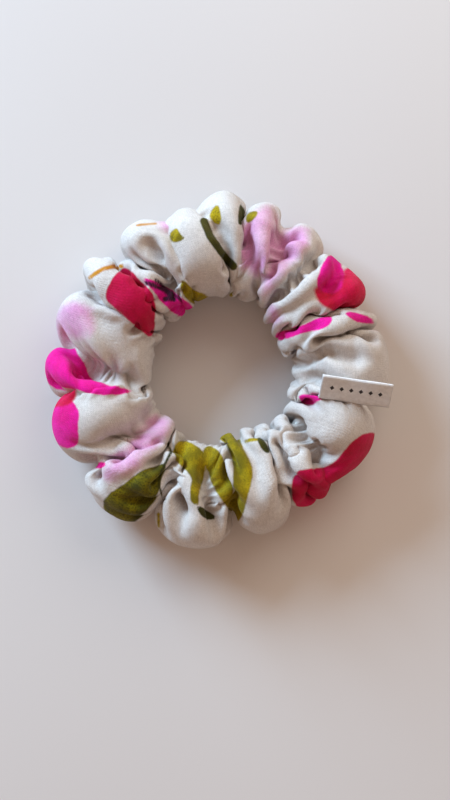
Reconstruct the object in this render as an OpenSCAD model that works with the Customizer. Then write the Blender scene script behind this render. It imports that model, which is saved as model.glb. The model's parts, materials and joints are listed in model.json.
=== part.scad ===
// Scrunchie: a printed cloth sleeve gathered on a loop of flat elastic, with a folded ribbon label
// caught in the sleeve's end seam. Millimetres, +Z up, the ring lies flat on Z = 0 about the Z axis.

/* [Sleeve] */
// Radius of the hole through the ring, at its mean
hole_r = 23; // [22:0.5:24]
// Radius of the ring's outside, at its mean
outside_r = 53; // [51:0.5:55]
// How deep the gathers are flattened where they rest
rest_flat = 1; // [0.5:0.1:1.5]
// Gap between neighbouring gathers along a crease
crease_gap = 0.3; // [0.2:0.05:0.5]

/* [Elastic] */
// Inner radius of the elastic loop
elastic_r = 30; // [29.5:0.5:30.5]
// Width of the flat elastic
elastic_w = 6; // [5:0.5:7]
// Thickness of the flat elastic
elastic_t = 1.2; // [1:0.1:1.3]
// Length over which its two ends are lapped and sewn
elastic_lap = 12; // [8:1:16]

/* [Label] */
// Length of the ribbon label, along the seam
label_l = 22; // [18:1:24]
// Free width of the folded label, from the seam to its fold
label_w = 8.5; // [8:0.5:11]
// Thickness of one ply of ribbon
ribbon_t = 0.35; // [0.25:0.05:0.4]
// Slope at which the label lies, above the horizontal
label_tilt = 45; // [32:1:50]

/* [Thread] */
// Diameter of the sewing thread
thread_d = 0.4; // [0.3:0.05:0.5]
// Pitch of the stitches
stitch_pitch = 3.2; // [2.5:0.1:4]

/* [Hidden] */

// Creases between the gathers, in degrees from +X. The first one is also the end seam.
CREASES = [-15, 8, 24, 50, 66, 81, 111, 131, 150, 170, 188, 220, 248, 275, 299, 322, 345];
// How far each gather's inside and outside stand from the means above
INNER_STEP = [0, -1.5, 1, 3, 1, 0.5, -2.5, 1, -2.5, -1, 0, 2.5, 0.5, -2.5, -1.5, 1.5];
OUTER_STEP = [0, -3, -0.5, -1.5, 0, 2.5, -1, -1, -1, 1.5, 1, 3.5, 2.5, -0.5, -4, 0.5];
// The print's main colour on each gather
IVORY = "#ECE7DF";
BLUSH = "#E9C3D6";
HOT_PINK = "#F0148C";
CRIMSON = "#C8102E";
OLIVE = "#8E8A12";
LEAF = "#5C6A10";
PRINT = [IVORY, HOT_PINK, CRIMSON, BLUSH, BLUSH, IVORY, IVORY, CRIMSON,
         IVORY, HOT_PINK, IVORY, LEAF, IVORY, OLIVE, IVORY, IVORY];

seam_angle = CREASES[0];
seam_slot = 2.4;                        // clear gap of the end seam, which holds the label's ends
flank_points = 9;                       // points on each flank of a gather's profile
reach = 90;                             // larger than the ring
mid_z = (outside_r - hole_r) / 2 - rest_flat;   // height of the tube's middle
tunnel_in = elastic_r - 0.6;            // tunnel for the elastic, through every gather
tunnel_out = elastic_r + 2 * elastic_t + 0.5;
tunnel_low = mid_z - elastic_w / 2 - 2;
tunnel_high = mid_z + elastic_w / 2 + 1;
lap_at = 204;                           // where the elastic's ends are sewn
label_in = 32.5;                        // radius at which the label starts
root_l = 12;                            // length of label that the seam holds
label_turn = 7;                         // how far the label is askew in its seam
root_h = 6;                             // depth of the label's ends in the seam
label_start = 0.6;                      // from the seam line to the label's free part
label_z = 27.3;                         // height of the line that the label flaps about
seam_ring_r = 12;                       // the end seam's stitches, round the tube
seam_ring_at = 37.2;

// A gather's profile: half the tube at its middle, falling along two round flanks to its ends.
function flank(mid_r, flank_r) = [
    for (i = [-flank_points : flank_points])
        let (along = flank_r * sin(90 * i / flank_points))
        [mid_r - flank_r + sqrt(max(0, flank_r * flank_r - along * along)), along]
];

// One gather as a body turned about the tube's own line, which runs along +Y here.
module puff(mid_r, flank_r) {
    rotate([-90, 0, 0])
        rotate_extrude($fn = 48)
            polygon(concat([[0, -flank_r]], flank(mid_r, flank_r), [[0, flank_r]]));
}

// The sector that one gather fills, about +X, kept back from its creases by half the gap.
module sector(half_angle) {
    back = crease_gap / 2 / sin(half_angle);
    linear_extrude(height = reach)
        polygon([[back, 0],
                 [back + reach * cos(half_angle), -reach * sin(half_angle)],
                 [back + reach * cos(half_angle), reach * sin(half_angle)]]);
}

// The tunnel in which the elastic and the long seam run.
module tunnel() {
    translate([0, 0, tunnel_low])
        rotate_extrude($fn = 96)
            translate([tunnel_in, 0]) square([tunnel_out - tunnel_in, tunnel_high - tunnel_low]);
}

// The slot of the end seam, which the label's ends are caught in.
module end_seam_slot() {
    rotate([0, 0, seam_angle])
        translate([0, -seam_slot / 2, -1]) cube([reach, seam_slot, reach]);
}

module sleeve_gather(i) {
    half_angle = (CREASES[i + 1] - CREASES[i]) / 2;
    inner = hole_r + INNER_STEP[i];
    outer = outside_r + OUTER_STEP[i];
    mid_r = (outer - inner) / 2;
    ring_r = (outer + inner) / 2;
    flank_r = min(mid_r - 1, 1.3 * ring_r * tan(half_angle) + 2);
    color(PRINT[i])
        difference() {
            rotate([0, 0, CREASES[i] + half_angle])
                intersection() {
                    translate([ring_r, 0, mid_r - rest_flat]) puff(mid_r, flank_r);
                    sector(half_angle);
                }
            tunnel();
            if (i == 0 || i == len(PRINT) - 1) end_seam_slot();
        }
}

module elastic_band() {
    lap_angle = elastic_lap / (elastic_r + 1.5 * elastic_t) * 180 / PI;
    color("white")
        translate([0, 0, mid_z - elastic_w / 2])
            union() {
                rotate_extrude($fn = 96)
                    translate([elastic_r, 0]) square([elastic_t, elastic_w]);
                rotate([0, 0, lap_at - lap_angle / 2])
                    rotate_extrude(angle = lap_angle, $fn = 96)
                        translate([elastic_r + elastic_t - 0.1, 0]) square([elastic_t + 0.1, elastic_w]);
            }
}

// A short straight stitch along X, about the origin.
module stitch(length) {
    rotate([0, 90, 0]) cylinder(d = thread_d, h = length, center = true, $fn = 16);
}

// A zigzag through both plies of the elastic, where its ends are lapped.
module elastic_join_stitches() {
    steps = 6;
    color("gainsboro")
        for (i = [0 : steps]) {
            along = (i - steps / 2) * (elastic_lap - 3) / steps;
            side = (i % 2 == 0 ? 1 : -1) * (elastic_w / 2 - 1.2);
            rotate([0, 0, lap_at + along / elastic_r * 180 / PI])
                translate([elastic_r + elastic_t, 0, mid_z + side])
                    stitch(2 * elastic_t + 0.5);
        }
}

// The running stitches of the seam that closes the cloth into a tube, along the tunnel's floor.
module long_seam_stitches() {
    seam_r = elastic_r + elastic_t;
    count = floor(2 * PI * seam_r / stitch_pitch);
    color("white")
        for (i = [0 : count - 1])
            rotate([0, 0, seam_angle + (i + 0.5) * 360 / count])
                translate([seam_r, 0, tunnel_low + 0.8])
                    rotate([0, 0, 90]) stitch(stitch_pitch * 0.6);
}

// The stitches of the end seam, each across the slot and into the cloth on both sides.
module end_seam_stitches() {
    count = floor(2 * PI * seam_ring_r / stitch_pitch);
    color("white")
        rotate([0, 0, seam_angle])
            for (i = [0 : count - 1]) {
                round_tube = (i + 0.5) * 360 / count;
                translate([seam_ring_at + seam_ring_r * cos(round_tube), 0,
                           mid_z + seam_ring_r * sin(round_tube)])
                    rotate([0, 0, 90]) stitch(seam_slot + 2);
            }
}

// The label's place: along the end seam, turned a little about the middle of its root.
module in_label_seam() {
    rotate([0, 0, seam_angle])
        translate([label_in + root_l / 2, 0, 0])
            rotate([0, 0, label_turn])
                translate([-root_l / 2, 0, label_z]) children();
}

// The ribbon's two cut ends, held in the end seam.
module label_root() {
    color("white")
        in_label_seam()
            translate([0, -ribbon_t, -0.3 - root_h])
                cube([root_l, 2 * ribbon_t, root_h]);
}

// The folded ribbon outside the seam: two plies that meet in a round fold.
module label_tab() {
    fold_r = ribbon_t + 0.15;
    color("white")
        in_label_seam()
            rotate([label_tilt, 0, 0])
                rotate([90, 0, 90])
                    linear_extrude(height = label_l)
                        difference() {
                            union() {
                                translate([label_start, -fold_r])
                                    square([label_w - fold_r - label_start, 2 * fold_r]);
                                translate([label_w - fold_r, 0]) circle(r = fold_r, $fn = 24);
                            }
                            translate([label_start - 0.1, ribbon_t - fold_r])
                                square([label_w - fold_r - label_start, 2 * (fold_r - ribbon_t)]);
                        }
}

sleeve_gather(0);  // sleeve_gather_01
sleeve_gather(1);  // sleeve_gather_02
sleeve_gather(2);  // sleeve_gather_03
sleeve_gather(3);  // sleeve_gather_04
sleeve_gather(4);  // sleeve_gather_05
sleeve_gather(5);  // sleeve_gather_06
sleeve_gather(6);  // sleeve_gather_07
sleeve_gather(7);  // sleeve_gather_08
sleeve_gather(8);  // sleeve_gather_09
sleeve_gather(9);  // sleeve_gather_10
sleeve_gather(10);  // sleeve_gather_11
sleeve_gather(11);  // sleeve_gather_12
sleeve_gather(12);  // sleeve_gather_13
sleeve_gather(13);  // sleeve_gather_14
sleeve_gather(14);  // sleeve_gather_15
sleeve_gather(15);  // sleeve_gather_16
elastic_band();
elastic_join_stitches();
long_seam_stitches();
end_seam_stitches();
label_root();
label_tab();
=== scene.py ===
"""A scrunchie: a printed cloth sleeve gathered on flat elastic, with a folded ribbon label."""
import json
import math

import bpy
import numpy as np
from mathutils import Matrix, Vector


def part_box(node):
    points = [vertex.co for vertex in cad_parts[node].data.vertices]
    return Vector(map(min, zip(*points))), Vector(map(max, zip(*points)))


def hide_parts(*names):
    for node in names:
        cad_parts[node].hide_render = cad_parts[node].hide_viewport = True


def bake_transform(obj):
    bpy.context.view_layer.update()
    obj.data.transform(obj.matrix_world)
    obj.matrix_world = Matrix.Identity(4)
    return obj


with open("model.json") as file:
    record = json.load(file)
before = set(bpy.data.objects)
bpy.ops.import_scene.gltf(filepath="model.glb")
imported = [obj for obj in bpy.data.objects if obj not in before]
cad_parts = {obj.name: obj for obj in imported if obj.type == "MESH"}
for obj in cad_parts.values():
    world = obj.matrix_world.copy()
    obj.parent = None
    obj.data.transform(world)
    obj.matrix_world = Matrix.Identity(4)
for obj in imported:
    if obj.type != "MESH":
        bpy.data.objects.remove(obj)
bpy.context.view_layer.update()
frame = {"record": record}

# ---------------------------------------------------------------- sizes, in millimetres
STRIP = (100.0, 530.0)          # the sleeve's cut, width and length
AROUND = 90.0                   # round the tube, less the seam's allowances
COLUMNS, ROWS = 344, 72         # the cloth's grid, along the strip and round the tube
ELASTIC_R, ELASTIC_Z = 31.0, 14.0
# The cloth stays this far off a strip in the elastic's middle, which reaches this far up and down.
BAND_CLEAR, BAND_HALF = 1.7, 2.2
STEPS = 400                     # of the cloth's settling
VALLEY_GRIP = 0.10              # how firmly the folds below are held while the cloth settles
HOLE_EDGE = 28.0                # within this radius the elastic holds the gathers too
INNER_EASE = 0.35               # how much less cloth stands up beside the hole
DIMPLE = 2.5                    # how far the creases draw back from the hole
FLOOR = 0.3                     # the cloth's midline lies this far above the table
# The cloth as it settles: forces and stiffnesses are for each step.
THICK, PAIR_REACH = 1.25, 2.2   # how near two layers come, and where contact is looked for
ROUGHNESS = 0.25                # of the random start
DRAG, FASTEST = 0.86, 0.5       # the share of its speed that it keeps, and its top speed
PUFF, WEIGHT = 0.003, 0.006     # outwards, from the air inside, and down
BEND, BEND_FAR = 0.2, 0.10      # against folding over 2 and over 4 of the grid's steps
HOLD_FIRST, HOLD_LAST = 0.02, 0.005     # how firmly it is held to the gathers' places
SEAM_SHARE = 0.62               # where round the tube, from its outside, the long seam lies
LAP_AT = math.radians(204)      # where the elastic's ends are lapped
LABEL_LONG, LABEL_WIDE, LABEL_TILT = 22.0, 8.5, 45.0
ROOT_DEEP, PLY, PLY_OUT = 6.0, 0.35, 0.32    # the ribbon in the seam, its thickness, half its gap
MOTIF_LINE = ROOT_DEEP + 4.6    # where the woven motif lies across the ribbon
SPRIGS = 90                     # motifs in the print's repeat
PRINT_LOW = 6.0                 # the outlined motifs end at this height

# The sleeve's gathers, anticlockwise from the end seam. Each row is the crease it starts at
# (angle at the hole, angle at the outside, how far the crease is tucked under a neighbour),
# then its inner and outer reach, its height, and how deep that crease cuts into the tube.
GATHERS = [
    # in, out, tuck, inner, outer, height, depth
    (-17, -13, 0, 24.3, 55.0, 27, 0.42),
    (15, 16, 0, 21.8, 53.5, 26, 0.30),
    (27, 19, 0, 24.3, 50.0, 20, 0.42),
    (33, 22, 7, 22.3, 55.0, 28, 0.35),
    (50, 51, -5, 25.8, 54.5, 27, 0.26),
    (62, 66, 0, 25.3, 56.5, 27, 0.26),
    (76, 81, 4, 26.3, 60.0, 26, 0.42),
    (80, 97, 6, 24.3, 52.0, 29, 0.28),
    (112, 109, -3, 23.8, 56.5, 28, 0.38),
    (117, 131, -5, 22.3, 46.0, 25, 0.34),
    (134, 134, 4, 23.3, 53.0, 28, 0.26),
    (155, 148, -4, 21.3, 54.0, 26, 0.32),
    (194, 167, 5, 25.3, 56.5, 25, 0.36),
    (198, 187, 0, 22.8, 57.5, 26, 0.42),
    (231, 212, 8, 28.3, 58.5, 25, 0.40),
    (236, 249, 0, 24.3, 58.0, 28, 0.42),
    (279, 275, 0, 21.8, 55.5, 28, 0.40),
    (296, 300, 0, 23.3, 51.0, 25, 0.36),
    (311, 307, 0, 24.8, 51.5, 26, 0.30),
    (326, 313, -5, 26.3, 56.0, 28, 0.42),
]

# Folds in the tops of the gathers: a path in plan, its depth and width, and how far the fold's
# bottom is tucked to the left of the path.
VALLEYS = [
    ([(-22, 38), (-17, 31), (-14, 26)], 4.0, 2.2, 1.0),
    ([(24, 42), (19, 41), (18, 37), (22, 35)], 6.0, 1.6, 0),      # knot of pink folds
    ([(30, 33), (24, 27), (19, 22)], 4.0, 1.6, 0),
    ([(13, 29), (10, 33), (9, 40)], 3.0, 1.8, 0),
    ([(40, 39), (38, 31), (34, 25)], 9.0, 1.8, 1.5),              # the hooked fold
    ([(43, 3), (33, 5), (26, 2)], 4.0, 2.0, 0),
    ([(28, -3), (31, -4)], 5.0, 2.4, 0),
    ([(-42, 1), (-35, -2), (-27, -5)], 11.0, 2.6, -1.5),          # eye-shaped hollow
    ([(-21, -14), (-26, -20), (-33, -24)], 10.0, 2.2, 2.5),       # under the curled lip
    ([(-13, -27), (-15, -36), (-12, -44)], 9.0, 2.6, 0),         # hollows of the open pouch
    ([(-3, -31), (-2, -40), (0, -47)], 9.0, 2.8, 0),
    ([(31, -29), (26, -22), (24, -17)], 7.0, 2.0, 0),
]
# Fuller places: a centre in plan, a radius and how far the cloth stands out there.
SWELLS = [
    (2, 50, 6, 2.0),
    (-6, 34, 9, 2.5),
    (-10, 44, 6, 1.5),
    (-27, 40, 7, 2.0),
    (-45, 19, 5, 2.0),
    (-27, 20, 6, 2.0),
    (40, -17, 9, 2.0),
    (-36, -12, 9, 2.0),
    (44, 24, 6, 2.5),
    (33, 33, 6, 2.0),
    (-17, -19, 4, 3.5),
]


def smooth(x):
    x = np.clip(x, 0, 1)
    return x * x * (3 - 2 * x)


def sleeve_start(steps_along, steps_round):
    """The gathered tube before it is relaxed, as points [along, round, xyz]."""
    rows = np.array(GATHERS, float)
    count = len(rows)
    after = np.roll(rows, -1, axis=0)
    after[-1, :2] += 360
    phi = np.arange(steps_round) / steps_round * 2 * math.pi   # 0 outside, 90 degrees on top
    outward = 0.5 + 0.5 * np.cos(phi)
    topside = smooth(0.5 + 1.2 * np.sin(phi))
    per = steps_along // count + 1
    out = []
    for here, there in zip(rows, after):
        s = np.linspace(-1, 1, per, endpoint=False)[:, None]
        t = (s + 1) / 2
        fall = 1 - np.sqrt(1 - s ** 2)
        theta_here = here[0] + (here[1] - here[0]) * outward
        theta_there = there[0] + (there[1] - there[0]) * outward
        mid_here, mid_there = (here[0] + here[1]) / 2, (there[0] + there[1]) / 2
        theta_here = mid_here + (theta_here - mid_here) * (0.3 + 0.7 * topside)
        theta_there = mid_there + (theta_there - mid_there) * (0.3 + 0.7 * topside)
        theta = theta_here * (1 - t) + theta_there * t
        tuck = here[2] * (1 - t) + there[2] * t
        theta = theta + tuck * fall ** 2 * topside
        depth = here[6] * (1 - t) + there[6] * t
        height = here[5]
        inner = here[3] + DIMPLE * fall
        outer = here[4] - (here[4] - here[3]) * depth * fall
        radius = inner + (outer - inner) * outward
        lift = height / 2 * np.sin(phi) * (1 - depth * fall)
        z = ELASTIC_Z + (height / 2 - ELASTIC_Z) * (1 - fall ** 2) + lift
        a = np.radians(theta)
        out.append(np.stack([radius * np.cos(a), radius * np.sin(a), z + 0 * radius], axis=-1))
    dense = np.concatenate(out)
    # spread the grid's columns evenly over the cloth's mean length
    step = np.linalg.norm(np.roll(dense, -1, axis=0) - dense, axis=-1).mean(axis=1)
    along = np.concatenate([[0], np.cumsum(step)])
    creases = list(along[::per] / along[-1])
    want = np.arange(steps_along) / steps_along * along[-1]
    closed = np.concatenate([dense, dense[:1]])
    at = np.searchsorted(along, want, side="right") - 1
    part = ((want - along[at]) / (along[at + 1] - along[at]))[:, None, None]
    return closed[at] * (1 - part) + closed[at + 1] * part, creases


def off_path(x, y, path):
    """How far points are in plan from a path, and how far along it, from 0 to 1."""
    best = np.full(x.shape, 1e9)
    share = np.zeros(x.shape)
    total = sum(math.dist(a, b) for a, b in zip(path, path[1:]))
    done = 0.0
    for (x0, y0), (x1, y1) in zip(path, path[1:]):
        dx, dy = x1 - x0, y1 - y0
        long = math.hypot(dx, dy)
        t = np.clip(((x - x0) * dx + (y - y0) * dy) / long ** 2, 0, 1)
        off = np.hypot(x - x0 - t * dx, y - y0 - t * dy)
        nearer = off < best
        best = np.where(nearer, off, best)
        share = np.where(nearer, (done + t * long) / total, share)
        done += long
    return best, share


def cut_valleys(points):
    """The start shape with its folds cut in, and how firmly each point is held there."""
    n = normals(points)
    top = smooth((points[..., 2] - ELASTIC_Z + 3) / 5)
    grip = np.zeros(points.shape[:2])
    moved = points.copy()
    x, y = points[..., 0], points[..., 1]
    for path, depth, width, tuck in VALLEYS:
        off, _ = off_path(x, y, path)
        near = top * np.exp(-(off / width) ** 2)
        (x0, y0), (x1, y1) = path[0], path[-1]
        long = math.dist(path[0], path[-1])
        left = np.array([y0 - y1, x1 - x0, 0]) / long
        moved += (tuck * left - depth * n) * near[..., None]
        grip = np.maximum(grip, near)
    for x0, y0, radius, height in SWELLS:
        near = top * np.exp(-((x - x0) ** 2 + (y - y0) ** 2) / radius ** 2)
        moved += n * (height * near)[..., None]
        grip = np.maximum(grip, 0.3 * near)
    # the hole's edge stays as the elastic gathers it
    grip = np.maximum(grip, 0.3 * smooth((HOLE_EDGE - np.hypot(x, y)) / 4))
    return moved, VALLEY_GRIP * grip


def resample_round(points):
    """Even spacing of each ring of points round the tube, starting from the outside."""
    closed = np.concatenate([points, points[:, :1]], axis=1)
    step = np.linalg.norm(np.diff(closed, axis=1), axis=-1)
    along = np.concatenate([np.zeros((len(points), 1)), np.cumsum(step, axis=1)], axis=1)
    out = np.empty_like(points)
    for i in range(len(points)):
        want = np.arange(points.shape[1]) / points.shape[1] * along[i, -1]
        for c in range(3):
            out[i, :, c] = np.interp(want, along[i], closed[i, :, c])
    return out


def spring(points, axis_shift, rest, push, pull):
    """One sweep of springs from each point to the one axis_shift away."""
    other = np.roll(points, (-axis_shift[0], -axis_shift[1]), axis=(0, 1))
    gap = other - points
    length = np.sqrt((gap * gap).sum(axis=-1))
    miss = (length - rest) / np.maximum(length, 1e-6)
    move = gap * (0.5 * np.where(miss > 0, miss * pull, miss * push))[..., None]
    return move - np.roll(move, axis_shift, axis=(0, 1))


def normals(points):
    du = np.roll(points, -1, axis=0) - np.roll(points, 1, axis=0)
    dv = np.roll(points, -1, axis=1) - np.roll(points, 1, axis=1)
    n = np.cross(du, dv)
    return n / np.maximum(np.linalg.norm(n, axis=-1, keepdims=True), 1e-9)


def close_pairs(flat, reach, columns, rows):
    """Pairs of points nearer than reach that aren't neighbours in the cloth."""
    cell = np.floor(flat / reach).astype(np.int64)
    cell -= cell.min(axis=0) - 1
    size = cell.max(axis=0) + 2
    key = (cell[:, 0] * size[1] + cell[:, 1]) * size[2] + cell[:, 2]
    order = np.argsort(key, kind="stable")
    sorted_key = key[order]
    firsts, seconds = [], []
    for dx in (-1, 0, 1):
        for dy in (-1, 0, 1):
            for dz in (-1, 0, 1):
                shift = (dx * size[1] + dy) * size[2] + dz
                if shift < 0:
                    continue
                low = np.searchsorted(sorted_key, key + shift, side="left")
                high = np.searchsorted(sorted_key, key + shift, side="right")
                many = high - low
                first = np.repeat(np.arange(len(flat)), many)
                start = np.repeat(low - np.concatenate([[0], np.cumsum(many)[:-1]]), many)
                second = order[start + np.arange(len(first))]
                if shift == 0:
                    keep = second > first
                    first, second = first[keep], second[keep]
                firsts.append(first)
                seconds.append(second)
    first, second = np.concatenate(firsts), np.concatenate(seconds)
    gap = flat[first] - flat[second]
    near = (gap * gap).sum(axis=1) < reach * reach
    first, second = first[near], second[near]
    du = np.abs(first // rows - second // rows)
    dv = np.abs(first % rows - second % rows)
    du, dv = np.minimum(du, columns - du), np.minimum(dv, rows - dv)
    apart = (du > 2) | (dv > 2)
    return first[apart], second[apart]


def roughened(points):
    """The points moved a little at random, so that the cloth has somewhere to start folding."""
    rough = np.random.default_rng(3).normal(size=points.shape)
    for _ in range(6):
        rough = (rough + np.roll(rough, 1, 0) + np.roll(rough, -1, 0)
                 + np.roll(rough, 1, 1) + np.roll(rough, -1, 1)) / 5
    return points + rough * (ROUGHNESS / rough.std())


def keep_size(points, long_u, long_v, rest_u, rest_v, grow):
    """The cloth's threads keep their lengths, and resist shearing and bending."""
    for _ in range(2):
        move = spring(points, (1, 0), long_u, 0.5, 0.9)
        move += spring(points, (0, 1), long_v, 0.5, 0.9)
        points += 0.5 * move
    diagonal = np.hypot(rest_u, rest_v)
    move = spring(points, (1, 1), diagonal, 0.1, 0.2)
    move += spring(points, (1, -1), diagonal, 0.1, 0.2)
    for reach, stiff in ((2, BEND), (4, BEND_FAR)):
        move += spring(points, (reach, 0), reach * rest_u, stiff * grow, 0)
        move += spring(points, (0, reach), reach * rest_v, stiff * grow, 0)
    points += 0.5 * move


def push_apart(flat, first, second):
    """Pairs of points that are nearer than the cloth's thickness move apart."""
    for _ in range(2):
        gap = flat[first] - flat[second]
        length = np.sqrt((gap * gap).sum(axis=1))
        hit = length < THICK
        if not hit.any():
            break
        f, g = first[hit], second[hit]
        push = gap[hit] * (0.5 * (THICK - length[hit]) / np.maximum(length[hit], 1e-6))[:, None]
        n = np.maximum(np.bincount(f, minlength=len(flat)) + np.bincount(g, minlength=len(flat)), 1)
        for c in range(3):
            total = np.bincount(f, push[:, c], len(flat)) - np.bincount(g, push[:, c], len(flat))
            flat[:, c] += 1.3 * total / n ** 0.7


def clear_elastic(points):
    """Keep the cloth off the elastic, a flat band that is twice as thick at its lap."""
    radius = np.hypot(points[..., 0], points[..., 1])
    off_lap = np.abs(np.arctan2(points[..., 1], points[..., 0]) % (2 * math.pi) - LAP_AT)
    lapped = smooth((math.radians(17) - off_lap) / math.radians(5))
    dz = points[..., 2] - ELASTIC_Z
    dz_out = dz - np.clip(dz, -BAND_HALF, BAND_HALF)
    dr = radius - ELASTIC_R - 0.8 * lapped
    off = np.hypot(dr, dz_out)
    lift = np.maximum(0, BAND_CLEAR + 0.9 * lapped - off) / np.maximum(off, 1e-6)
    scale = 1 + dr * lift / radius
    points[..., 0] *= scale
    points[..., 1] *= scale
    points[..., 2] += dz_out * lift


def relax(points, grip, steps):
    """Let the gathered cloth settle: it keeps its cut size, is puffed a little by the air in it,
    lies on the floor and the elastic, and doesn't pass through itself."""
    columns, rows = points.shape[:2]
    rest_u, rest_v = STRIP[1] / columns, AROUND / rows
    # the gathers nearest the hole lie flat against each other, so less of the cloth stands up there
    inner = 0.5 - 0.5 * np.cos(np.arange(rows) / rows * 2 * math.pi)
    rest_u = rest_u * (1 - INNER_EASE * smooth((inner - 0.4) / 0.45))[None, :]
    goal = points.copy()
    points = roughened(points)
    before = points.copy()
    start_u = np.linalg.norm(np.roll(points, -1, 0) - points, axis=-1)
    start_v = np.linalg.norm(np.roll(points, -1, 1) - points, axis=-1)
    for step in range(steps):
        grow = smooth(step / (0.5 * steps))
        speed = (points - before) * DRAG
        far = np.linalg.norm(speed, axis=-1, keepdims=True)
        speed *= np.minimum(1, FASTEST / np.maximum(far, 1e-9))
        before = points.copy()
        points = points + speed + normals(points) * PUFF
        points[..., 2] -= WEIGHT
        hold = HOLD_FIRST * (1 - smooth(step / (0.8 * steps))) + HOLD_LAST
        points += (goal - points) * (hold + grip)[..., None]
        long_u = start_u * (1 - grow) + rest_u * grow
        long_v = start_v * (1 - grow) + rest_v * grow
        keep_size(points, long_u, long_v, rest_u, rest_v, grow)
        flat = points.reshape(-1, 3)
        if step % 5 == 0:
            first, second = close_pairs(flat, PAIR_REACH, columns, rows)
        push_apart(flat, first, second)
        points = flat.reshape(points.shape)
        clear_elastic(points)
        points[..., 2] = np.maximum(points[..., 2], FLOOR)
    return points


def sharpen(points, amount=0.9, passes=8):
    """Crisper folds: each point moves away from the mean of the cloth around it, less so where
    the cloth lies against the elastic."""
    dz = points[..., 2] - ELASTIC_Z
    dr = np.hypot(points[..., 0], points[..., 1]) - ELASTIC_R
    off = np.hypot(dr, dz - np.clip(dz, -BAND_HALF, BAND_HALF))
    free = smooth((off - BAND_CLEAR) / 3)[..., None]
    mean = points
    for _ in range(passes):
        mean = (2 * mean + np.roll(mean, 1, 0) + np.roll(mean, -1, 0)
                + np.roll(mean, 1, 1) + np.roll(mean, -1, 1)) / 6
    crisp = points + amount * free * (points - mean)
    crisp[..., 2] = np.maximum(crisp[..., 2], FLOOR)
    return crisp


def refine(points):
    """Twice the grid each way, on a cubic spline through the cloth."""
    for axis in (0, 1):
        before, after = np.roll(points, 1, axis), np.roll(points, -1, axis)
        on = (before + 6 * points + after) / 8
        between = (points + after) / 2
        points = np.stack([on, between], axis=axis + 1)
        shape = list(on.shape)
        shape[axis] *= 2
        points = points.reshape(shape)
    return points


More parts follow.
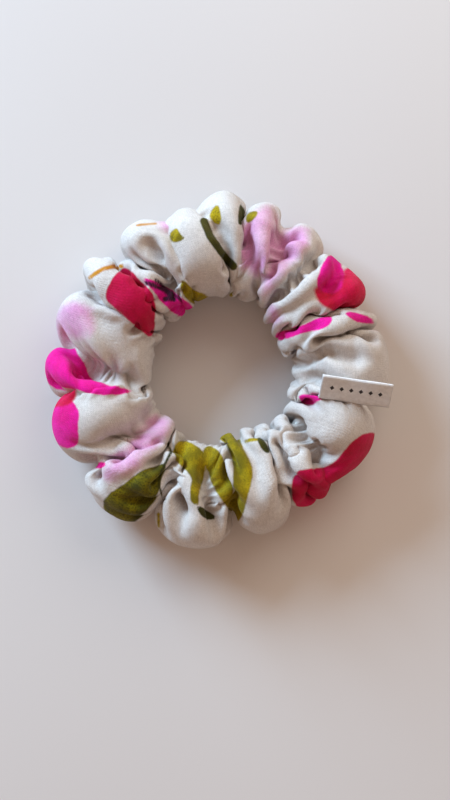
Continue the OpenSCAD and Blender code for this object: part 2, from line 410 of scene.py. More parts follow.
# ---------------------------------------------------------------- the print
# Each motif is a colour, the gathers it lies on, and its outline in plan, in millimetres.
AREAS = [
    # the bulb and pouch at the top
    ("olive", 6, 7, [(0, 53), (1, 50), (1, 46), (-1, 46), (-3, 48.5), (-2, 51)]),
    ("dark", 6, 7, [(7, 54), (9, 51), (9, 47), (6.5, 45), (6.5, 49)]),
    ("olive", 5, 7, [(9, 50), (13, 51), (12, 48), (9, 46)]),
    ("olive", 6, 8, [(-13, 45), (-12, 42.5), (-10, 41), (-14, 39.5), (-16, 42), (-15, 44)]),
    ("olive", 6, 8, [(-12, 29), (-8, 25), (-3, 23.5), (0, 22.5), (-4, 21), (-9, 21), (-12, 24)]),
    ("blush", 8, 8, [(-20, 47), (-15, 48), (-14, 43), (-17, 44)]),
    # the crimson band and the pink roll beside it
    ("crimson", 9, 11, [(-30, 33), (-27, 30), (-23, 26), (-20, 22), (-20, 17), (-21, 9), (-25, 12),
                        (-30, 16), (-36, 21), (-36, 24), (-34, 28), (-32, 31)]),
    ("pink", 8, 11, [(-26, 29), (-21, 28), (-16, 26), (-12, 23), (-8, 20), (-8, 18), (-11, 17),
                     (-15, 18), (-18, 21), (-22, 26)]),
    ("blush", 11, 12, [(-52, 20), (-45, 21), (-40, 18), (-40, 11), (-44, 9), (-52, 10)]),
    # petals on the left
    ("pink", 12, 13, [(-56, 8), (-52, 8.5), (-47, 9), (-45, 5), (-43, 2), (-41, -3), (-36, -5.5),
                      (-31, -6.5), (-26, -7), (-31, -9), (-40, -9), (-46, -7), (-56, -5)]),
    ("red", 13, 13, [(-56, -4), (-48, -4), (-45, -7), (-46, -11), (-50, -13), (-56, -11)]),
    ("pink", 13, 13, [(-57, -8), (-50, -9), (-46, -11), (-44, -15), (-45, -19), (-44, -25), (-50, -26),
                      (-57, -18)]),
    ("blush", 13, 14, [(-22, -15), (-17, -15), (-14, -18), (-18, -24), (-22, -28), (-26, -32),
                       (-31, -36), (-37, -36), (-35, -30), (-29, -25), (-26, -21), (-23, -19)]),
    ("pink", 14, 14, [(-43, -27), (-38, -28), (-35, -32), (-40, -32)]),
    # leaves at the bottom
    ("leaf", 14, 14, [(-16, -30), (-18, -36), (-19, -41), (-23, -46), (-29, -50), (-35, -48),
                      (-37, -43), (-35, -40.5), (-28, -36), (-22.5, -32)]),
    ("olive", 15, 15, [(-12, -22), (-8, -24), (-4, -27), (-4, -33), (-6, -40), (-6, -45), (-9, -43),
                       (-9, -38), (-8, -36), (-11, -32), (-15, -28), (-14, -25)]),
    ("dark", 15, 15, [(-7, -44), (-3, -45.5), (0, -48), (-4, -48.5), (-6, -47)]),
    ("olive", 15, 15, [(-5, -26), (-3, -24), (0, -26), (2, -30), (4, -34), (5, -40), (5, -46),
                       (2, -44), (-1, -39), (-3, -34), (-4.5, -30)]),
    ("olive", 16, 16, [(-2, -21), (3, -19), (7, -22), (8, -26), (11, -31), (11, -37), (9, -44),
                       (7, -49), (4, -48), (5, -37), (5, -31), (3.5, -26), (2, -23)]),
    ("dark", 16, 18, [(12, -22), (15, -23), (17, -28), (14, -27)]),
    # petals on the right
    ("crimson", 17, 19, [(23, -34), (31, -32.5), (37, -31), (41, -26), (44, -23), (50, -20), (56, -22),
                         (56, -38), (40, -46), (24, -46)]),
    ("pink", 19, 19, [(25, -8.5), (30, -8.5), (35, -9.5), (31, -12), (27, -11.5)]),
    ("pink", 1, 3, [(18, 12), (26, 13), (31, 15), (36, 17), (37, 15), (35, 12.5), (30, 11.5), (25, 10),
                    (19, 9)]),
    ("pink", 1, 2, [(40, 17.5), (44, 18), (50, 16), (50, 14), (44, 14.5)]),
    ("pink", 3, 3, [(38, 41), (39, 37), (40, 32), (42, 29), (42, 25), (39, 22), (35, 21), (32, 24),
                    (32, 28), (33, 32), (35, 35)]),
    ("red", 3, 3, [(40, 32), (44, 34), (48, 31), (51, 25), (49, 17), (39, 17), (35, 18.5), (31, 22),
                   (31, 26), (35, 24), (38, 24), (40, 26), (40.5, 29)]),
    ("blush", 3, 4, [(17, 21), (21, 16), (18, 13), (16, 17)]),
    ("blush", 4, 4, [(17, 42), (21, 45), (28, 46), (30, 42), (27, 37), (24, 33), (20, 29), (17, 24),
                     (14, 23), (14, 28), (17, 33)]),
    ("blush", 5, 5, [(6, 43), (10, 48), (15, 53), (18, 52), (19, 44), (20, 40), (17, 35), (15, 30),
                     (11, 30), (7, 33), (6, 38)]),
]
# Stems and lines: a colour, the gathers, a width and a path.
STROKES = [
    ("dark", 6, 7, 2.5, [(-4.5, 47), (-2.5, 42), (1, 37), (5, 32.5)]),
    ("olive", 6, 8, 1.0, [(-1, 22.5), (2, 22.5), (5, 24.5)]),
    ("orange", 9, 11, 1.4, [(-41, 29), (-37, 31.5), (-31, 33)]),
    ("orange", 8, 8, 0.9, [(-26, 46), (-20, 46.5)]),
    ("pink", 12, 12, 1.2, [(-47, 9), (-43, 9.5), (-38, 8)]),
    ("ink", 8, 11, 1.4, [(-23, 27), (-17, 25), (-14, 22), (-17, 22)]),
    ("ink", 8, 11, 1.0, [(-20, 28), (-12, 22)]),
    ("dark", 14, 15, 0.9, [(-17, -21), (-15, -27), (-18, -33), (-19, -38), (-17, -42)]),
    ("olive", 14, 15, 0.9, [(-19, -46), (-19, -50)]),
    ("olive", 16, 17, 1.2, [(9, -23.5), (13, -23)]),
]
COLOURS = ["blush", "pink", "crimson", "red", "olive", "leaf", "dark", "orange", "ink"]
# The view in plan that the motifs' outlines are drawn in: from high over the ring's middle.
PLAN_HEIGHT, PLAN_Z = 400.0, 15.0


def rounded(outline):
    """An outline with its corners cut twice, so that it runs as smoothly as a brush."""
    for _ in range(2):
        cut = []
        for (x0, y0), (x1, y1) in zip(outline, outline[1:] + outline[:1]):
            cut.append((0.75 * x0 + 0.25 * x1, 0.75 * y0 + 0.25 * y1))
            cut.append((0.25 * x0 + 0.75 * x1, 0.25 * y0 + 0.75 * y1))
        outline = cut
    return outline


def inside(x, y, outline):
    """How far points are inside an outline, in plan; negative outside it."""
    off = np.full(x.shape, 1e9)
    crossings = np.zeros(x.shape, int)
    for (x0, y0), (x1, y1) in zip(outline, outline[1:] + outline[:1]):
        dx, dy = x1 - x0, y1 - y0
        t = np.clip(((x - x0) * dx + (y - y0) * dy) / (dx * dx + dy * dy), 0, 1)
        off = np.minimum(off, np.hypot(x - x0 - t * dx, y - y0 - t * dy))
        spans = (y0 > y) != (y1 > y)
        at = x0 + (y - y0) * dx / np.where(dy == 0, 1e-9, dy)
        crossings += spans & (x < at)
    return np.where(crossings % 2 == 1, off, -off)


def scattered(along, around, colour):
    """The repeat of the print away from the outlined motifs: petals, leaves and stems."""
    random = np.random.default_rng(11)
    field = np.full(along.shape, -50.0)
    for _ in range(SPRIGS):
        u, v = random.uniform(0, STRIP[1]), random.uniform(0, AROUND)
        turn, long, wide = random.uniform(0, 2 * math.pi), random.uniform(6, 13), random.uniform(3, 6)
        kind = ("pink", "olive", "blush", "crimson", "dark")[random.integers(5)]
        if kind != colour:
            continue
        if kind == "dark":
            wide = 1.0
        du = (along - u + STRIP[1] / 2) % STRIP[1] - STRIP[1] / 2
        dv = (around - v + AROUND / 2) % AROUND - AROUND / 2
        a = du * math.cos(turn) + dv * math.sin(turn)
        b = dv * math.cos(turn) - du * math.sin(turn) + 0.03 * a * a
        taper = wide * (1 - 0.35 * a / long)
        field = np.maximum(field, wide * (1 - np.sqrt((a / long) ** 2 + (b / taper) ** 2)))
    return field


def print_fields(points, creases):
    """For each colour of the print, how far inside its motifs each point is, in millimetres."""
    z = points[..., 2]
    nearer = PLAN_HEIGHT / (PLAN_HEIGHT + PLAN_Z - z)
    x, y = points[..., 0] * nearer, points[..., 1] * nearer
    along, around = np.meshgrid(np.arange(points.shape[0]) * (STRIP[1] / points.shape[0]),
                                np.arange(points.shape[1]) * (AROUND / points.shape[1]), indexing="ij")
    edge = np.array(creases) * STRIP[1]
    # where the outlined motifs end and the print's repeat begins, in a wavy line low on the sides
    low = PRINT_LOW + 2.5 * np.sin(along * 0.29) + 2.0 * np.sin(along * 0.71 + 1)
    fields = {c: np.minimum(scattered(along, around, c), low - 1.5 - z) for c in COLOURS}

    def add(colour, first, last, field):
        since, until = along - edge[first], edge[last + 1] - along
        field = np.minimum(field, np.minimum(since, until) + 1)
        field = np.minimum(field, z - low)
        fields[colour] = np.maximum(fields[colour], field)

    for colour, first, last, outline in AREAS:
        add(colour, first, last, inside(x, y, rounded(outline)))
    for colour, first, last, width, path in STROKES:
        add(colour, first, last, width / 2 - off_path(x, y, path)[0])
    return fields


# ---------------------------------------------------------------- materials
def node(tree, kind, **values):
    """A shader node, with its inputs set or linked by name or number."""
    made = tree.nodes.new("ShaderNode" + kind)
    for name, value in values.items():
        if name.startswith("_"):
            setattr(made, name[1:], value)
            continue
        socket = made.inputs[int(name[1:])] if name[1:].isdigit() else made.inputs[name.replace("__", " ")]
        if isinstance(value, bpy.types.NodeSocket):
            tree.links.new(value, socket)
        else:
            socket.default_value = value
    return made


def math_node(tree, operation, a, b=0.0, c=0.0, clamp=False):
    return node(tree, "Math", _operation=operation, _use_clamp=clamp, i0=a, i1=b, i2=c).outputs[0]


def noise(tree, at, scale, detail=2.0, roughness=0.5, distortion=0.0):
    made = node(tree, "TexNoise", Vector=at, Scale=scale, Detail=detail, Roughness=roughness,
                Distortion=distortion)
    return made.outputs["Fac"]


def mix(tree, factor, a, b, blend="MIX"):
    made = node(tree, "Mix", _data_type="RGBA", _blend_type=blend)
    for socket, value in ((made.inputs[0], factor), (made.inputs[6], a), (made.inputs[7], b)):
        if isinstance(value, bpy.types.NodeSocket):
            tree.links.new(value, socket)
        else:
            socket.default_value = value
    return made.outputs[2]


def ramp(tree, value, low, high, out_low=0.0, out_high=1.0):
    made = node(tree, "MapRange", _interpolation_type="SMOOTHSTEP", i0=value, i1=low, i2=high,
                i3=out_low, i4=out_high)
    return made.outputs[0]


def srgb(r, g, b):
    """A colour given as it is seen, from 0 to 255, in the light values that Blender mixes."""
    def light(c):
        c /= 255
        return c / 12.92 if c <= 0.04045 else ((c + 0.055) / 1.055) ** 2.4
    return (light(r), light(g), light(b), 1.0)


def new_material(name, roughness, sheen=0.0):
    material = bpy.data.materials.new(name)
    material.use_nodes = True
    tree = material.node_tree
    tree.nodes.clear()
    out = tree.nodes.new("ShaderNodeOutputMaterial")
    shader = tree.nodes.new("ShaderNodeBsdfPrincipled")
    tree.links.new(shader.outputs[0], out.inputs[0])
    shader.inputs["Roughness"].default_value = roughness
    shader.inputs["Specular IOR Level"].default_value = 0.2
    if sheen:
        shader.inputs["Sheen Weight"].default_value = sheen
        shader.inputs["Sheen Roughness"].default_value = 0.5
    return material, tree, shader


def weave_height(tree, cloth, pitch):
    """Plain weave: threads along and across the cloth, pitch millimetres apart."""
    apart = node(tree, "SeparateXYZ", Vector=cloth)
    heights = []
    for axis in (0, 1):
        turns = math_node(tree, "MULTIPLY", apart.outputs[axis], 2 * math.pi / pitch)
        heights.append(math_node(tree, "SINE", turns))
    return math_node(tree, "MULTIPLY", heights[0], heights[1])


def bump(tree, shader, height, distance, strength=1.0):
    made = node(tree, "Bump", Strength=strength, Distance=distance, Height=height)
    tree.links.new(made.outputs[0], shader.inputs["Normal"])


def print_material():
    """Painted flowers and leaves on ivory viscose, laid out by the sleeve's print fields."""
    material, tree, shader = new_material("print_cloth", 0.85, sheen=0.06)
    cloth = node(tree, "Attribute", _attribute_name="cloth_mm").outputs["Vector"]
    wobble = math_node(tree, "SUBTRACT", noise(tree, cloth, 0.16, 4, 0.6), 0.5)
    fine = math_node(tree, "SUBTRACT", noise(tree, cloth, 1.1, 3, 0.7), 0.5)
    speckle = noise(tree, cloth, 1.6, 4, 0.75)
    wash = noise(tree, cloth, 0.09, 3, 0.6)

    def layer(colour, under, light, dark, soft, wander, speckled=0.0):
        field = node(tree, "Attribute", _attribute_name="print_" + colour).outputs["Fac"]
        moved = math_node(tree, "MULTIPLY_ADD", wobble, wander, field)
        moved = math_node(tree, "MULTIPLY_ADD", fine, wander * 0.25, moved)
        mask = ramp(tree, moved, -soft, soft)
        tone = mix(tree, ramp(tree, wash, 0.35, 0.65), dark, light)
        if speckled:
            tone = mix(tree, ramp(tree, speckle, 0.46, 0.62, 0.0, speckled), tone, dark)
        return mix(tree, mask, under, tone)

    ivory = mix(tree, ramp(tree, wash, 0.3, 0.7), srgb(220, 212, 208), srgb(229, 222, 218))
    colour = layer("blush", ivory, srgb(238, 190, 218), srgb(228, 160, 204), 2.2, 4.0)
    colour = layer("pink", colour, srgb(250, 20, 166), srgb(236, 8, 136), 0.35, 1.4, 0.35)
    colour = layer("crimson", colour, srgb(214, 0, 80), srgb(194, 0, 58), 0.35, 1.4)
    colour = layer("red", colour, srgb(234, 16, 92), srgb(210, 4, 58), 0.7, 1.8, 0.5)
    colour = layer("olive", colour, srgb(192, 166, 6), srgb(122, 108, 2), 0.35, 1.2, 0.8)
    colour = layer("leaf", colour, srgb(140, 130, 4), srgb(66, 64, 2), 0.35, 1.2, 0.9)
    colour = layer("dark", colour, srgb(84, 78, 12), srgb(50, 52, 10), 0.3, 0.8, 0.4)
    colour = layer("orange", colour, srgb(216, 150, 30), srgb(190, 116, 16), 0.4, 1.0, 0.3)
    colour = layer("ink", colour, srgb(80, 20, 60), srgb(40, 10, 36), 0.4, 1.6, 0.5)
    # slubs and thread-to-thread unevenness
    stretched = node(tree, "Mapping", Vector=cloth, Scale=(0.5, 3.0, 1.0)).outputs[0]
    slub_a = noise(tree, stretched, 1.0, 2, 0.6)
    stretched = node(tree, "Mapping", Vector=cloth, Scale=(3.0, 0.5, 1.0)).outputs[0]
    slub_b = noise(tree, stretched, 1.0, 2, 0.6)
    slub = math_node(tree, "ADD", slub_a, slub_b)
    colour = mix(tree, ramp(tree, slub, 0.75, 1.25, 0.24, 0.0), colour, srgb(150, 140, 132), "MULTIPLY")
    heather = noise(tree, cloth, 3.2, 2, 0.6)
    colour = mix(tree, ramp(tree, heather, 0.38, 0.62, 0.20, 0.0), colour, srgb(150, 140, 132), "MULTIPLY")
    # the sewn lines lie a little deeper, and painted shade darkens the cloth's colour along their grooves
    apart = node(tree, "SeparateXYZ", Vector=cloth)
    seam = math_node(tree, "PINGPONG", apart.outputs[1], AROUND / 2)
    seam = math_node(tree, "MINIMUM", seam, math_node(tree, "PINGPONG", apart.outputs[0], STRIP[1] / 2))
    seam = ramp(tree, seam, 0.15, 0.7, 1.0, 0.0)
    colour = mix(tree, math_node(tree, "MULTIPLY", seam, 0.5), colour, srgb(140, 128, 122), "MULTIPLY")
    tree.links.new(colour, shader.inputs["Base Color"])
    weave = weave_height(tree, cloth, 0.62)
    height = math_node(tree, "MULTIPLY_ADD", slub, 0.9, math_node(tree, "MULTIPLY", weave, 0.35))
    crinkle = noise(tree, cloth, 0.35, 3, 0.55)
    height = math_node(tree, "MULTIPLY_ADD", crinkle, 2.2, height)
    height = math_node(tree, "MULTIPLY_ADD", seam, -2.0, height)
    bump(tree, shader, height, 0.00016)
    return material


def link(obj):
    bpy.context.scene.collection.objects.link(obj)
    return obj


def mesh_object(name, points, faces, material, smooth_faces=True):
    mesh = bpy.data.meshes.new(name)
    mesh.from_pydata([tuple(p) for p in points], [], faces)
    mesh.update()
    if smooth_faces:
        mesh.shade_smooth()
    mesh.materials.append(material)
    return link(bpy.data.objects.new(name, mesh))


def float_attribute(mesh, name, values):
    attribute = mesh.attributes.new(name, "FLOAT", "POINT")
    attribute.data.foreach_set("value", np.asarray(values, np.float32).ravel())


def make_sleeve():
    start, creases = sleeve_start(COLUMNS, ROWS)
    start, grip = cut_valleys(resample_round(start))
    settled = relax(start, grip, STEPS)
    settled = sharpen(settled)
    fine = refine(settled)
    fields = print_fields(fine, creases)
    columns, rows = fine.shape[:2]
    # the strip's two ends meet at the end seam, and its long edges low on the hole's side
    seam_row = int(rows * SEAM_SHARE)

    def strip(values):
        values = np.roll(values, -seam_row, axis=1)
        values = np.concatenate([values, values[:, :1]], axis=1)
        return np.concatenate([values, values[:1]], axis=0)

    points = strip(fine).reshape(-1, 3) / 1000
    index = np.arange((columns + 1) * (rows + 1)).reshape(columns + 1, rows + 1)
    corners = [index[:-1, :-1], index[1:, :-1], index[1:, 1:], index[:-1, 1:]]
    faces = np.stack(corners, axis=-1).reshape(-1, 4)
    mesh = bpy.data.meshes.new("sleeve")
    mesh.vertices.add(len(points))
    mesh.vertices.foreach_set("co", points.astype(np.float32).ravel())
    mesh.loops.add(faces.size)
    mesh.loops.foreach_set("vertex_index", faces.astype(np.int32).ravel())
    mesh.polygons.add(len(faces))
    mesh.polygons.foreach_set("loop_start", np.arange(0, faces.size, 4, dtype=np.int32))
    mesh.update(calc_edges=True)
    mesh.validate()
    mesh.shade_smooth()
    along, around = np.meshgrid(np.arange(columns + 1) * STRIP[1] / columns,
                                np.arange(rows + 1) * AROUND / rows, indexing="ij")
    cloth = np.stack([along, around, 0 * along], axis=-1).reshape(-1, 3)
    attribute = mesh.attributes.new("cloth_mm", "FLOAT_VECTOR", "POINT")
    attribute.data.foreach_set("vector", cloth.astype(np.float32).ravel())
    for colour in COLOURS:
        float_attribute(mesh, "print_" + colour, strip(fields[colour]))
    # the bake's map: the strip in six lengths, laid three across and two up
    uv = mesh.uv_layers.new(name="OFBake")
    lengths, across = 6, 3
    face_column = np.repeat(np.arange(columns), rows)
    piece = face_column * lengths // columns
    corner = faces.ravel()
    u = (corner // (rows + 1)) / columns * lengths - np.repeat(piece, 4)
    v = (corner % (rows + 1)) / rows
    margin = 0.01
    u = (np.repeat(piece % across, 4) + margin + u * (1 - 2 * margin)) / across
    v = (np.repeat(piece // across, 4) + margin + v * (1 - 2 * margin)) / (lengths // across)
    uv.data.foreach_set("uv", np.stack([u, v], axis=-1).astype(np.float32).ravel())
    mesh.materials.append(print_material())
    sleeve = link(bpy.data.objects.new("sleeve", mesh))
    return sleeve, settled


def make_elastic():
    """Flat knitted elastic: a band with ribs along it, and its ends lapped."""
    low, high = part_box("elastic_band")
    width, thick = high[2] - low[2], 0.0012
    radius, middle = high[0] - thick, (low[2] + high[2]) / 2
    turns, lap = 180, math.radians(22)
    start = LAP_AT - lap / 2
    ribs = 12
    profile = []
    for side in (0, 1):
        for i in range(ribs * 2 + 1):
            share = i / (ribs * 2)
            share = share if side == 0 else 1 - share
            out = thick * (0.86 + 0.14 * (i % 2)) if side else thick * 0.14 * (1 - i % 2)
            profile.append((out, (share - 0.5) * width))
    points, faces = [], []
    sweep = 2 * math.pi + lap
    for i in range(turns + 1):
        share = i / turns
        angle = start + share * sweep
        past = max(0.0, (share * sweep - 2 * math.pi) / lap + 0.5)
        lift = (thick + 0.0001) * float(smooth(past * 2))
        crimp = 0.00012 * math.sin(i * math.pi / 2)
        for out, z in profile:
            r = radius + out + lift + crimp
            points.append((r * math.cos(angle), r * math.sin(angle), middle + z))
    count = len(profile)
    for i in range(turns):
        for j in range(count):
            a, b = i * count + j, i * count + (j + 1) % count
            faces.append((a, a + count, b + count, b))
    faces.append(tuple(range(count)))
    faces.append(tuple(turns * count + j for j in reversed(range(count))))
    material, tree, shader = new_material("knitted_elastic", 0.75, sheen=0.1)
    place = node(tree, "TexCoord").outputs["Object"]
    speck = noise(tree, place, 1800, 2)
    colour = mix(tree, ramp(tree, speck, 0.35, 0.65), srgb(214, 210, 202), srgb(238, 236, 230))
    tree.links.new(colour, shader.inputs["Base Color"])
    bump(tree, shader, noise(tree, place, 2600, 2), 0.0001)
    return mesh_object("elastic", points, faces, material)


def thread_material():
    """White polyester thread, with the twist of its plies."""
    material, tree, shader = new_material("sewing_thread", 0.5, sheen=0.1)
    place = node(tree, "TexCoord").outputs["Object"]
    twist = noise(tree, place, 3200, 2)
    colour = mix(tree, ramp(tree, twist, 0.35, 0.65), srgb(206, 202, 198), srgb(240, 238, 236))
    tree.links.new(colour, shader.inputs["Base Color"])
    bump(tree, shader, twist, 0.00005)
    return material


def stitches(name, ends, material, width=0.0004):
    """Short threads, each a round-ended rod from one point to another."""
    sides = 8
    points, faces = [], []
    for start, end in ends:
        start, end = Vector(start), Vector(end)
        along = (end - start).normalized()
        across = along.orthogonal().normalized()
        up = along.cross(across)
        base = len(points)
        for share, size in ((0, 0.3), (0.06, 0.85), (0.5, 1.1), (0.94, 0.85), (1, 0.3)):
            for k in range(sides):
                a = 2 * math.pi * k / sides
                off = (across * math.cos(a) + up * math.sin(a)) * (width / 2 * size)
                points.append(start.lerp(end, share) + off)
        rings = (len(points) - base) // sides
        for i in range(rings - 1):
            for k in range(sides):
                p, q = base + i * sides + k, base + i * sides + (k + 1) % sides
                faces.append((p, q, q + sides, p + sides))
        faces.append(tuple(base + k for k in reversed(range(sides))))
        faces.append(tuple(base + (rings - 1) * sides + k for k in range(sides)))
    return mesh_object(name, points, faces, material)


def seam_runs(line, pitch, share):
    """Where the stitches of a seam lie along a line of points: a start and an end for each."""
    gaps = np.linalg.norm(np.diff(line, axis=0), axis=1)
    along = np.concatenate([[0], np.cumsum(gaps)])
    count = int(along[-1] / pitch)
    starts = (np.arange(count) + 0.5 - share / 2) * pitch
    place = np.stack([[np.interp(at, along, line[:, c]) for c in range(3)]
                      for at in np.concatenate([starts, starts + share * pitch])])
    return list(zip(place[:count], place[count:]))


def make_long_seam(settled, material):
    """Running stitches along the line where the strip's long edges meet."""
    row = int(settled.shape[1] * SEAM_SHARE)
    out = 0.12 * normals(settled)[:, row]
    line = np.concatenate([settled[:, row] + out, (settled[:, row] + out)[:1]]) / 1000
    return stitches("long_seam_stitches", seam_runs(line, 0.0032, 0.6), material)


def make_end_seam(settled, material):
    """Ladder stitches round the tube, across the line where the strip's two ends meet."""
    rows = settled.shape[1]
    out = 0.12 * normals(settled)
    pitch = 3
    ends = []
    for row in range(0, rows, pitch):
        before = settled[-1, row] + out[-1, row]
        after = settled[1, row] + out[1, row]
        ends.append((before / 1000, after / 1000))
    return stitches("end_seam_stitches", ends, material)


def make_join(material):
    """A zigzag over the elastic's lapped ends."""
    low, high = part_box("elastic_join_stitches")
    band_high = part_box("elastic_band")[1]
    middle, half = (low[2] + high[2]) / 2, (high[2] - low[2]) / 2
    radius = band_high[0] + 0.0013
    steps, spread = 12, math.radians(18)
    points = []
    for i in range(steps + 1):
        angle = LAP_AT + (i / steps - 0.5) * spread
        points.append((radius * math.cos(angle), radius * math.sin(angle), middle + half * (-1) ** i))
    return stitches("elastic_join_stitches", list(zip(points, points[1:])), material)


def label_material():
    """White satin ribbon: fine ribs, firm woven edges and a row of small woven lozenges."""
    material, tree, shader = new_material("label_ribbon", 0.55, sheen=0.1)
    cloth = node(tree, "Attribute", _attribute_name="ribbon_mm").outputs["Vector"]
    apart = node(tree, "SeparateXYZ", Vector=cloth)
    along, across = apart.outputs[0], apart.outputs[1]
    rib = math_node(tree, "SINE", math_node(tree, "MULTIPLY", across, 2 * math.pi / 0.32))
    warp = math_node(tree, "SINE", math_node(tree, "MULTIPLY", along, 2 * math.pi / 0.24))
    uneven = noise(tree, cloth, 0.7, 3, 0.6)
    colour = mix(tree, ramp(tree, uneven, 0.3, 0.7), srgb(228, 226, 228), srgb(242, 241, 243))
    # the lozenges: a repeat along the label, and how far each point is from a lozenge's middle
    turn = math_node(tree, "PINGPONG", math_node(tree, "SUBTRACT", along, 2.0), 1.5)
    wide = math_node(tree, "DIVIDE", math_node(tree, "SUBTRACT", 1.5, turn), 0.75)
    tall = math_node(tree, "ABSOLUTE", math_node(tree, "SUBTRACT", across, MOTIF_LINE))
    tall = math_node(tree, "DIVIDE", tall, 0.95)
    lozenge = ramp(tree, math_node(tree, "ADD", wide, tall), 0.85, 1.05, 1.0, 0.0)
    middle = math_node(tree, "ABSOLUTE", math_node(tree, "SUBTRACT", along, LABEL_LONG / 2))
    lozenge = math_node(tree, "MULTIPLY", lozenge, ramp(tree, middle, 8.9, 9.1, 1.0, 0.0))
    colour = mix(tree, lozenge, colour, srgb(52, 48, 52))
    tree.links.new(colour, shader.inputs["Base Color"])
    height = math_node(tree, "MULTIPLY_ADD", rib, 0.6, math_node(tree, "MULTIPLY", warp, 0.3))
    edge = math_node(tree, "ABSOLUTE", math_node(tree, "SUBTRACT", along, LABEL_LONG / 2))
    height = math_node(tree, "MULTIPLY_ADD", ramp(tree, edge, 9.9, 10.3), 1.6, height)
    height = math_node(tree, "MULTIPLY_ADD", lozenge, 1.0, height)
    bump(tree, shader, height, 0.00006)
    return material


def label_line():
    """The midline of the folded ribbon in the seam's cross-section: out from the hinge, and up.
    It runs up one ply from its cut end, round the fold and down the other."""
    tilt, free = math.radians(LABEL_TILT), LABEL_WIDE - PLY_OUT
    steps = 30
    at = np.linspace(-ROOT_DEEP, free, steps)
    turn = math.pi / 2 + (tilt - math.pi / 2) * smooth((at + 1.0) / 2.0)
    step = np.diff(at, prepend=at[0])
    out, up = np.cumsum(step * np.cos(turn)), np.cumsum(step * np.sin(turn))
    hinge = np.argmin(np.abs(at))
    out, up = out - out[hinge], up - up[hinge]
    side = np.stack([-np.sin(turn), np.cos(turn)], axis=1) * PLY_OUT
    centre = np.stack([out, up], axis=1)
    fold = []
    for i in range(1, 8):
        a = tilt + math.pi / 2 - math.pi * i / 8
        fold.append(centre[-1] + PLY_OUT * np.array([math.cos(a), math.sin(a)]))
    line = np.concatenate([centre + side, fold, (centre - side)[::-1]])
    reach = np.concatenate([at, np.full(7, free + PLY_OUT), at[::-1]])
    return line, reach


def make_label():
    """The ribbon label: one length of ribbon folded in half, its cut ends in the end seam."""
    joint = next(j for j in frame["record"]["behaviour"]["joints"] if j["name"] == "label_flap")
    hinge, axis = Vector(joint["pos_m"]), Vector(joint["axis"]).normalized()
    level = Vector((0, 0, 1)).cross(axis).normalized()
    line, reach = label_line()
    gaps = np.linalg.norm(np.diff(line, axis=0), axis=1)
    run = np.concatenate([[0], np.cumsum(gaps)])
    facing = np.gradient(line, axis=0)
    facing = np.stack([-facing[:, 1], facing[:, 0]], axis=1)
    facing /= np.linalg.norm(facing, axis=1, keepdims=True)
    across = 44
    points, cloth = [], []
    for side in (0.5, -0.5):
        for i in range(across + 1):
            u = i / across * LABEL_LONG
            droop = 0.9 * (u / LABEL_LONG) ** 3
            for (out, up), face, far, v in zip(line, facing, reach, run):
                free = float(smooth(far / LABEL_WIDE))
                deep = 1.0 if far > 0 else 1.0 - 0.9 * float(smooth((u - 11) / 9))
                wave = free * (0.35 * math.sin(u * 0.42 + 0.8) - droop)
                out_at = out + side * PLY * face[0]
                up_at = (up if far > 0 else up * deep) + side * PLY * face[1] + wave
                points.append(hinge + axis * (u / 1000) + level * (out_at / 1000)
                              + Vector((0, 0, up_at / 1000)))
                cloth.append((u, v, side))
    count, sheet = len(line), (across + 1) * len(line)
    faces = []
    for i in range(across):
        for j in range(count - 1):
            a, b = i * count + j, (i + 1) * count + j
            faces.append((a, b, b + 1, a + 1))
            faces.append((sheet + a, sheet + a + 1, sheet + b + 1, sheet + b))
        for j, flip in ((0, False), (count - 1, True)):
            a, b = i * count + j, (i + 1) * count + j
            rim = (a, sheet + a, sheet + b, b)
            faces.append(rim[::-1] if flip else rim)
    for i, flip in ((0, True), (across, False)):
        for j in range(count - 1):
            a = i * count + j
            rim = (a, sheet + a, sheet + a + 1, a + 1)
            faces.append(rim[::-1] if flip else rim)
    label = mesh_object("label", points, faces, label_material())
    attribute = label.data.attributes.new("ribbon_mm", "FLOAT_VECTOR", "POINT")
    attribute.data.foreach_set("vector", np.asarray(cloth, np.float32).ravel())
    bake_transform(label)
    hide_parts("label_root", "label_tab")


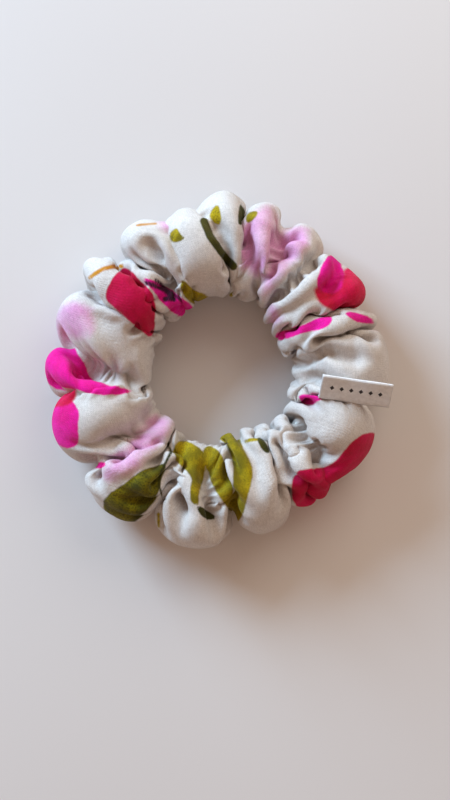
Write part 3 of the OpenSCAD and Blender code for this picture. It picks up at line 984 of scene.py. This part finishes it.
def main():
    sleeve, settled = make_sleeve()
    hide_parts(*[f"sleeve_gather_{i:02d}" for i in range(1, 17)])
    elastic = make_elastic()
    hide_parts("elastic_band")
    thread = thread_material()
    seams = [make_long_seam(settled, thread), make_end_seam(settled, thread), make_join(thread)]
    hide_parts("long_seam_stitches")
    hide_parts("end_seam_stitches")
    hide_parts("elastic_join_stitches")
    for piece in [sleeve, elastic] + seams:
        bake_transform(piece)
    make_label()


def make_stage():
    size = 1.2
    material, tree, shader = new_material("table", 0.6)
    place = node(tree, "TexCoord").outputs["Object"]
    shade = ramp(tree, noise(tree, place, 3, 2), 0.3, 0.7)
    tree.links.new(mix(tree, shade, srgb(214, 207, 205), srgb(220, 214, 212)), shader.inputs["Base Color"])
    floor = mesh_object("table", [(-size, -size, 0), (size, -size, 0), (size, size, 0), (-size, size, 0)],
                        [(0, 1, 2, 3)], material, False)
    world = bpy.data.worlds.new("studio")
    world.use_nodes = True
    background = world.node_tree.nodes["Background"]
    background.inputs[0].default_value = (0.43, 0.308, 0.232, 1)
    bpy.context.scene.world = world
    add_lamp("window", (-0.63, 0.62, 0.405), 0.45, 15.6, (0.52, 0.77, 1.0))
    add_lamp("ceiling", (0.28, 0.50, 0.40), 0.50, 2.0, (0.96, 0.95, 0.85))


def add_lamp(name, place, size, energy, colour):
    """A soft square lamp that faces the middle of the ring."""
    lamp = bpy.data.lights.new(name, "AREA")
    lamp.energy, lamp.size, lamp.color = energy, size, colour
    obj = link(bpy.data.objects.new(name, lamp))
    obj.location = place
    obj.rotation_euler = (-obj.location).to_track_quat("-Z", "Y").to_euler()


def make_camera():
    """Almost straight down, with the ring a little above the frame's middle."""
    aim = Vector((0.0022, -0.0098, 0.015))
    elevation, distance = math.radians(87), 0.40
    camera = bpy.data.cameras.new("camera")
    camera.sensor_fit = "VERTICAL"
    camera.sensor_height = 36
    camera.lens = 36 * distance / 0.256
    obj = link(bpy.data.objects.new("camera", camera))
    obj.location = aim + distance * Vector((0, -math.cos(elevation), math.sin(elevation)))
    obj.rotation_euler = (aim - obj.location).to_track_quat("-Z", "Y").to_euler()
    bpy.context.scene.camera = obj
    bpy.context.scene.view_settings.view_transform = "Standard"


make_camera()
make_stage()
main()
